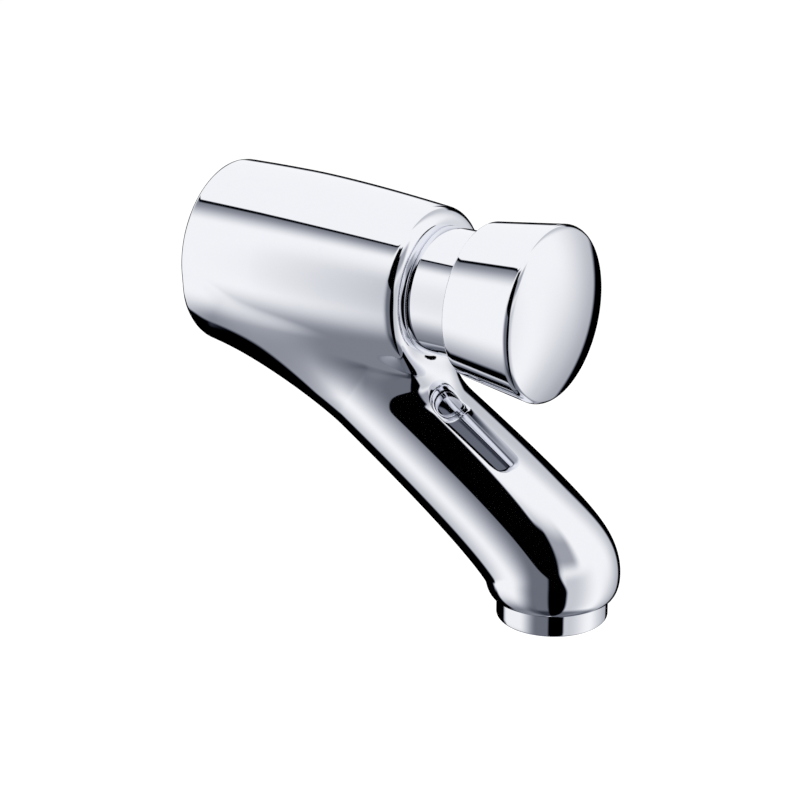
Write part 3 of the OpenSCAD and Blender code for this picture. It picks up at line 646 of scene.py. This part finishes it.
# %% Polished chrome: a mirror with a faint wave and a breath of haze
BRASS_R, BRASS_DEPTH = 11, 30
shader, mm = begin("polished_chrome")
haze = noise(mm, 4.0, 4.0).ramp(0.55, 0.85)
wave = noise(mm, 14.0, 1.0, 3.0)
across, along, height = (mm.dot(way) for way in ((1, 0, 0), (0, 1, 0), (0, 0, 1)))
near_axis = (across * across + height * height).ramp((BRASS_R + 0.5)**2, BRASS_R**2)
bare = near_axis * along.ramp(-BRASS_DEPTH - 2, -BRASS_DEPTH)
wall_face = along.ramp(-0.5, -0.1)
plated = haze.between((0.88, 0.89, 0.93), (0.86, 0.875, 0.92))
mm.feed(shader, {
    "Metallic": 1.0,
    "Base Color": bare.between(plated, (0.78, 0.60, 0.32)),
    "Roughness": 0.025 + 0.03 * haze + 0.2 * bare + 0.28 * wall_face,
    "Normal": bump(wave, 0.006)})
print("polished chrome:", len(finishes["polished_chrome"].node_tree.nodes), "nodes")

# %% [markdown]
# Brass nuts, the stainless strainer and the spring's wire come off a lathe, a press or a drawing
# die. Each tool leaves fine lines. An image of them could be laid on, but a sine of the distance
# has no seam and no end. Noise breaks the lines up, and a slower noise adds darker patches.

# %% Turned and drawn metals: fine tool lines and darker patches
def tool_metal(name, bright, dull, roughness, pitch, across=(0, 1, 0)):
    """A metal with tool lines: a sine of the distance along one direction over the pitch, broken
    up by noise, and a slow noise that picks between the bright and the dull colour."""
    shader, mm = begin(name)
    groove = mm.dot(across) * (2 * np.pi / pitch) + 3.0 * noise(mm, 3.0)
    groove = 0.5 + 0.5 * groove.math("SINE", groove)
    stain = noise(mm, 5.0, 4.0, 7.0).ramp(0.35, 0.75)
    mm.feed(shader, {
        "Metallic": 1.0,
        "Base Color": stain.between(bright, dull),
        "Roughness": roughness + 0.12 * stain + 0.06 * groove,
        "Normal": bump(groove, 0.004)})


tool_metal("brass", (0.80, 0.62, 0.30), (0.62, 0.45, 0.20), 0.22, 0.25)
tool_metal("stainless", (0.66, 0.67, 0.69), (0.52, 0.53, 0.56), 0.20, 0.2, (0, 0, 1))
tool_metal("spring_steel", (0.58, 0.59, 0.61), (0.40, 0.41, 0.44), 0.28, 0.4, (1, 0, 1))
print("metals:", [name for name in finishes if name != "polished_chrome"])

# %% [markdown]
# Seals are rubber, and the sliding and snapping pieces of such a valve are acetal, a hard and
# slightly waxy plastic. Both come out of a mould, so they have its fine grain and no tool lines.
# The grain is a small bump, and the colour is a little uneven, as it is on a real moulding.

# %% Moulded rubber and acetal: a fine grain from the mould and a slightly uneven colour
def moulded(name, colour, roughness, grain, depth, fade):
    """A moulded material: coarse noise fades the colour a little, fine noise is the mould's grain
    and lifts the roughness where it stands proud."""
    shader, mm = begin(name)
    cloud, skin = noise(mm, 6.0, 3.0, 2.0), noise(mm, grain, 3.0)
    mm.feed(shader, {
        "Base Color": cloud.ramp(0.3, 0.7).between(colour, [c * fade for c in colour]),
        "Roughness": roughness + 0.15 * skin,
        "Normal": bump(skin, depth)})


moulded("black_rubber", (0.030, 0.030, 0.032), 0.52, 0.25, 0.02, 1.6)
moulded("white_acetal", (0.82, 0.82, 0.79), 0.32, 0.4, 0.008, 0.93)
moulded("green_acetal", (0.20, 0.42, 0.28), 0.32, 0.4, 0.008, 0.90)
moulded("grey_acetal", (0.42, 0.43, 0.45), 0.34, 0.4, 0.008, 0.90)

# %% [markdown]
# The record names a finish for every sub-part, so one loop over it dresses all the solids. The
# pieces that were made here take theirs from the table above.

# %% Every CAD node takes the finish of its slot, and so do the pieces made here
for part in frame["record"]["subparts"]:
    node = nodes[part["node"]]
    for slot in node.material_slots:
        slot.material = finishes[part["material_slot"]]
for piece, _, _, finish in made_here:
    piece.data.materials.append(finishes[finish])
print("finishes:", sorted(finishes))

# %% [markdown]
# ## Studio
# Chrome has hardly a colour of its own. What it shows is the room: white tents and softboxes, and
# the black cards that a photographer stands up so that the edges show against a white page. The
# cards could be planes round the object, but in chrome only their direction matters. So they are
# written into the world, each by where it begins and ends, in degrees round and degrees up. The
# camera itself sees plain white.

# %% World: every direction as degrees round and degrees up
world = bpy.data.worlds.new("studio")
bpy.context.scene.world = world
world.use_nodes = True
room = Wire(world.node_tree)
gaze = room.node("ShaderNodeTexCoord", out="Generated")
turned_to = np.radians(TURN)
towards_camera = (np.sin(turned_to), -np.cos(turned_to), 0)
to_its_right = (np.cos(turned_to), np.sin(turned_to), 0)
ahead, aside = gaze.dot(towards_camera), gaze.dot(to_its_right)
DEGREES = 180 / np.pi
front = room.math("ARCTAN2", aside, ahead) * DEGREES
behind = room.math("ARCTAN2", -aside, -ahead) * DEGREES
rise = room.math("ARCSINE", gaze.dot((0, 0, 1))) * DEGREES
print("the room is measured from the camera's side, at", TURN, "degrees")


# %% Helpers: a card with soft edges, and a wall that falls into shade
def card(side, left, right, low, high, soft, dark):
    """How much light is left past a card: 1, less the share called dark inside a rectangle. The
    rectangle is given in degrees round and degrees up, and soft is half the width of its edges."""
    across = side.ramp(left - soft, left + soft) * side.ramp(right + soft, right - soft)
    upright = rise.ramp(low - soft, low + soft) * rise.ramp(high + soft, high - soft)
    return 1 - dark * across * upright


def fade(side, from_left, to_left, from_right, to_right, top, bottom, dark):
    """How much light is left where a wall falls into shade: 1, less the share called dark. The shade
    comes in between the two left bounds, goes out between the two right ones, and deepens from the
    top bound to the bottom one."""
    across = side.ramp(from_left, to_left) * side.ramp(to_right, from_right)
    return 1 - dark * across * rise.ramp(top, bottom)


# %% [markdown]
# A black card with a hard edge gives the dark bands that make chrome look like chrome. A soft grey
# shade on a wall of the room gives the slow tones between them. How dark and where was found by
# trying, one card at a time. All of them are multiplied, so where two overlap it gets darker still.

# %% Black cards: they draw the hard dark shapes
# The tall one beside the camera is narrow below, widens and leans to the left above the horizon
left_side = front + 39 * rise.ramp(5, 20)
right_side = front + 12 * rise.ramp(-14, 16)
tall_card = 1 - left_side.ramp(-13.5, -8.5) * right_side.ramp(23.5, 18.5) * rise.ramp(50, 46)
over_the_camera = card(front, -52, 0, 30, 64, 2, 1.0)
far_left = card(front, -172, -120, -45, 12, 4, 1.0)
behind_on_the_right = card(behind, -39, -7, -48, 20, 3, 1.0)
behind_and_below = card(behind, -1, 66, -57, -28, 4, 1.0)
black_cards = tall_card * over_the_camera * far_left * behind_on_the_right * behind_and_below

# %% Grey shades: they give the bright parts their soft tones
high_on_the_right = card(front, 0, 46, 20, 52, 9, 0.6)
wall_on_the_left = fade(front, -75, -35, 0, 20, 45, 15, 0.82)
wall_on_the_right = fade(front, 10, 22, 30, 80, 20, 0, 0.35)
ground_on_the_left = fade(front, -178, -165, -50, -30, -22, -60, 0.75)
ground_elsewhere = fade(front, -50, -30, 180, 190, -48, -62, 0.75)
far_right_up_high = fade(front, 100, 140, 150, 160, 90, 80, 0.38)
far_right_down_low = fade(front, 80, 110, 180, 190, 8, -40, 0.3)
shades = (high_on_the_right * wall_on_the_left * wall_on_the_right * ground_on_the_left
          * ground_elsewhere * far_right_up_high * far_right_down_low)

# %% World: the lower edge of the softbox on the left, a black line with a fade under it
# The edge lies 44 degrees up at 112 degrees to the left and climbs by half a degree for each degree
below_edge = 44 + 0.5 * (front + 112) - rise
on_left = front.ramp(-128, -120) * front.ramp(-60, -72)
edge_line = below_edge.ramp(-0.6, 0.6) * (1 - 0.24 * below_edge.ramp(2.5, 4.5))
softbox_edge = 1 - on_left * edge_line * below_edge.ramp(26, 3)

# %% World: a round black card straight behind the tap, which draws every outline
# It is black within 22 degrees of the line of sight and gone at 28, here as cosines
outline_card = 1 - gaze.dot(-back).ramp(0.885, 0.925)
light = black_cards * shades * softbox_edge * outline_card

# %% World: cool shadows in the chrome, plain white for the camera, less light on dull pieces
# A power above 1 darkens red and green a little where it is grey, one below 1 keeps the blue
FILL = 0.6
shade = room.node("ShaderNodeCombineColor", None,
                  {"Red": light ** 1.08, "Green": light ** 1.04, "Blue": light ** 0.94})
mirrored = room.node("ShaderNodeLightPath", out="Is Glossy Ray")
diffuse = room.node("ShaderNodeLightPath", out="Is Diffuse Ray")
room.feed(world.node_tree.nodes["Background"], {
    "Color": mirrored.between((1, 1, 1), shade),
    "Strength": 1 - (1 - FILL) * diffuse})
print("world:", len(world.node_tree.nodes), "nodes")

# %% [markdown]
# The world lights the tap from everywhere, which leaves rubber, plastic and paper flat. Two large
# soft lamps, one on the left and one in front, give them a bright and a dark side. They are kept
# out of the chrome, which has its cards.

# %% Lamps: two soft ones for what isn't chrome
def soft_lamp(name, place_mm, size_mm, watts):
    """A square area lamp at a place, turned so that it faces the middle of the tap. Its turn and
    its height are the arc tangents of the way there. Chrome doesn't mirror it."""
    lamp = bpy.data.objects.new(name, bpy.data.lights.new(name, "AREA"))
    lamp.data.size, lamp.data.energy = size_mm * MM, watts
    aim = np.array(place_mm) - MIDDLE
    turn = np.degrees(np.arctan2(aim[0], -aim[1]))
    height = np.degrees(np.arctan2(aim[2], np.hypot(*aim[:2])))
    pose = np.eye(4)
    pose[:3, 0], pose[:3, 1], pose[:3, 2] = view_axes(turn, height, 0)
    pose[:3, 3] = np.array(place_mm) * MM
    lamp.matrix_world = Matrix(pose.tolist())
    lamp.visible_glossy = False
    bpy.context.scene.collection.objects.link(lamp)
    return lamp


left_lamp = soft_lamp("lamp_left", (-900, -300, 900), 900, 9)
front_lamp = soft_lamp("lamp_front", (500, -1100, 700), 700, 6)
print("lamps:", left_lamp.name, front_lamp.name)

# %% [markdown]
# The tap hangs on a wall, so the floor is far below and only rounds off the white page. Plain paper
# would look pale grey from there. It glows a little for the camera alone, which makes it white and
# adds no light to the tap.

# %% Floor: pale paper well below the tap
FLOOR_Z, FLOOR_HALF, GLOW = -420.0, 6000.0, (0.42, 0.42, 0.42)
corners = np.array([(-1, -1, 0), (1, -1, 0), (1, 1, 0), (-1, 1, 0)]) * [FLOOR_HALF, FLOOR_HALF, 0]
floor_mesh = bpy.data.meshes.new("floor")
floor_mesh.from_pydata(((corners + [0, 0, FLOOR_Z]) * MM).tolist(), [], [(0, 1, 2, 3)])
floor = bpy.data.objects.new("floor", floor_mesh)
bpy.context.scene.collection.objects.link(floor)
floor.visible_glossy = False
shader, mm = begin("floor_paper")
seen = mm.node("ShaderNodeLightPath", out="Is Camera Ray")
fibre = noise(mm, 30.0)
mm.feed(shader, {
    "Base Color": fibre.between((0.90, 0.90, 0.90), (0.88, 0.88, 0.88)),
    "Roughness": 0.9,
    "Emission Color": seen.between((0, 0, 0), GLOW),
    "Emission Strength": 1.0})
floor_mesh.materials.append(finishes["floor_paper"])
print("floor at", FLOOR_Z, "mm")

# %% [markdown]
# ## Closing
# Colours are shown as they are written.

# %% Colour: shown as it is written
bpy.context.scene.view_settings.view_transform = "Standard"
